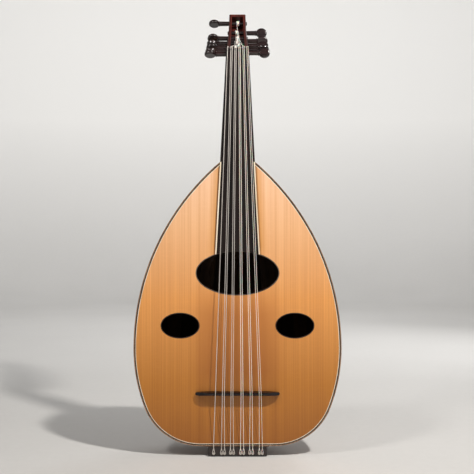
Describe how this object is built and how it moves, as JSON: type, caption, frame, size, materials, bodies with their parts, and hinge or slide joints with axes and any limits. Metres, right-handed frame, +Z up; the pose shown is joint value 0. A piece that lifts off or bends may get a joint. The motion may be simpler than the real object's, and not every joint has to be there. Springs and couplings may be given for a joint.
{
  "type": "oud",
  "caption": "Bowl-backed fretless lute with an oval-ended soundboard, open soundholes, a floating bridge, paired strings and a bent-back pegbox with turning pegs.",
  "frame": {"origin": "on the flat bottom face of the string holder, in the plane of the soundboard's outer face and on the centre line", "axes": "+X towards the treble side, +Y into the bowl, so the soundboard faces -Y, and +Z up the neck"},
  "size_m": [0.3666, 0.1972, 0.8203],
  "materials": {
    "spruce": "satin varnish over fine straight spruce grain",
    "bowl_wood_centre": "polished",
    "bowl_wood_dark": "polished",
    "bowl_wood_light": "polished",
    "block_wood": "plain sawn",
    "dark_trim": "satin",
    "clasp_wood": "polished",
    "neck_wood": "satin",
    "ebony": "oiled, semi-gloss",
    "pale_trim": "satin",
    "nut_material": "polished",
    "rosewood": "polished",
    "peg_wood": "high polish",
    "wound_string": "fine metal winding over a core",
    "plain_string": "clear to milky nylon",
    "pin_metal": "polished, slightly tarnished"
  },
  "bodies": {
    "instrument": {"soundboard_bass_half": "spruce", "soundboard_treble_half": "spruce", "soundboard_braces": "spruce", "rib_centre": "bowl_wood_centre", "ribs_pair_1": "bowl_wood_dark", "ribs_pair_3": "bowl_wood_dark", "ribs_pair_5": "bowl_wood_dark", "ribs_pair_7": "bowl_wood_dark", "ribs_pair_2": "bowl_wood_light", "ribs_pair_4": "bowl_wood_light", "ribs_pair_6": "bowl_wood_light", "ribs_pair_8": "bowl_wood_light", "neck_block": "block_wood", "tail_block": "block_wood", "soundboard_binding": "dark_trim", "soundboard_purfling_dark": "dark_trim", "soundhole_lining_large": "dark_trim", "soundhole_linings_small": "dark_trim", "end_clasp": "clasp_wood", "neck": "neck_wood", "fingerboard": "ebony", "bridge": "ebony", "string_holder": "ebony", "fingerboard_binding": "pale_trim", "soundboard_purfling_light": "pale_trim", "nut": "nut_material", "pegbox_cheek_bass": "rosewood", "pegbox_cheek_treble": "rosewood", "pegbox_root_block": "rosewood", "pegbox_back_plate": "rosewood", "pegbox_end_block": "rosewood", "string_course_1_bass": "wound_string", "string_course_2": "wound_string", "string_course_3": "wound_string", "string_course_4": "plain_string", "string_course_5": "plain_string", "string_course_6_treble": "plain_string", "hitch_pins": "pin_metal"},
    "peg_1_bass": {"peg_1_bass": "peg_wood", "string_coil_1": "wound_string"},
    "peg_2_treble": {"peg_2_treble": "peg_wood", "string_coil_2": "plain_string"},
    "peg_3_bass": {"peg_3_bass": "peg_wood", "string_coil_3": "wound_string"},
    "peg_4_treble": {"peg_4_treble": "peg_wood", "string_coil_4": "plain_string"},
    "peg_5_bass": {"peg_5_bass": "peg_wood", "string_coil_5": "wound_string"},
    "peg_6_treble": {"peg_6_treble": "peg_wood", "string_coil_6": "plain_string"},
    "peg_7_bass": {"peg_7_bass": "peg_wood", "string_coil_7": "wound_string"},
    "peg_8_treble": {"peg_8_treble": "peg_wood", "string_coil_8": "plain_string"},
    "peg_9_bass": {"peg_9_bass": "peg_wood", "string_coil_9": "wound_string"},
    "peg_10_treble": {"peg_10_treble": "peg_wood", "string_coil_10": "plain_string"},
    "peg_11_bass": {"peg_11_bass": "peg_wood", "string_coil_11": "plain_string"}
  },
  "joints": [
    {"name": "peg_1_bass_turn", "type": "hinge", "parent": "instrument", "child": "peg_1_bass", "pos_m": [0, 0.0315, 0.71455], "axis": [1, 0, 0], "continuous": true},
    {"name": "peg_2_treble_turn", "type": "hinge", "parent": "instrument", "child": "peg_2_treble", "pos_m": [0, 0.04399, 0.71949], "axis": [1, 0, 0], "continuous": true},
    {"name": "peg_3_bass_turn", "type": "hinge", "parent": "instrument", "child": "peg_3_bass", "pos_m": [0, 0.05535, 0.72447], "axis": [1, 0, 0], "continuous": true},
    {"name": "peg_4_treble_turn", "type": "hinge", "parent": "instrument", "child": "peg_4_treble", "pos_m": [0, 0.06651, 0.72987], "axis": [1, 0, 0], "continuous": true},
    {"name": "peg_5_bass_turn", "type": "hinge", "parent": "instrument", "child": "peg_5_bass", "pos_m": [0, 0.07747, 0.73567], "axis": [1, 0, 0], "continuous": true},
    {"name": "peg_6_treble_turn", "type": "hinge", "parent": "instrument", "child": "peg_6_treble", "pos_m": [0, 0.08821, 0.74187], "axis": [1, 0, 0], "continuous": true},
    {"name": "peg_7_bass_turn", "type": "hinge", "parent": "instrument", "child": "peg_7_bass", "pos_m": [0, 0.09872, 0.74845], "axis": [1, 0, 0], "continuous": true},
    {"name": "peg_8_treble_turn", "type": "hinge", "parent": "instrument", "child": "peg_8_treble", "pos_m": [0, 0.10898, 0.75541], "axis": [1, 0, 0], "continuous": true},
    {"name": "peg_9_bass_turn", "type": "hinge", "parent": "instrument", "child": "peg_9_bass", "pos_m": [0, 0.11898, 0.76275], "axis": [1, 0, 0], "continuous": true},
    {"name": "peg_10_treble_turn", "type": "hinge", "parent": "instrument", "child": "peg_10_treble", "pos_m": [0, 0.1366, 0.77712], "axis": [1, 0, 0], "continuous": true},
    {"name": "peg_11_bass_turn", "type": "hinge", "parent": "instrument", "child": "peg_11_bass", "pos_m": [0, 0.16182, 0.80155], "axis": [1, 0, 0], "continuous": true}
  ]
}
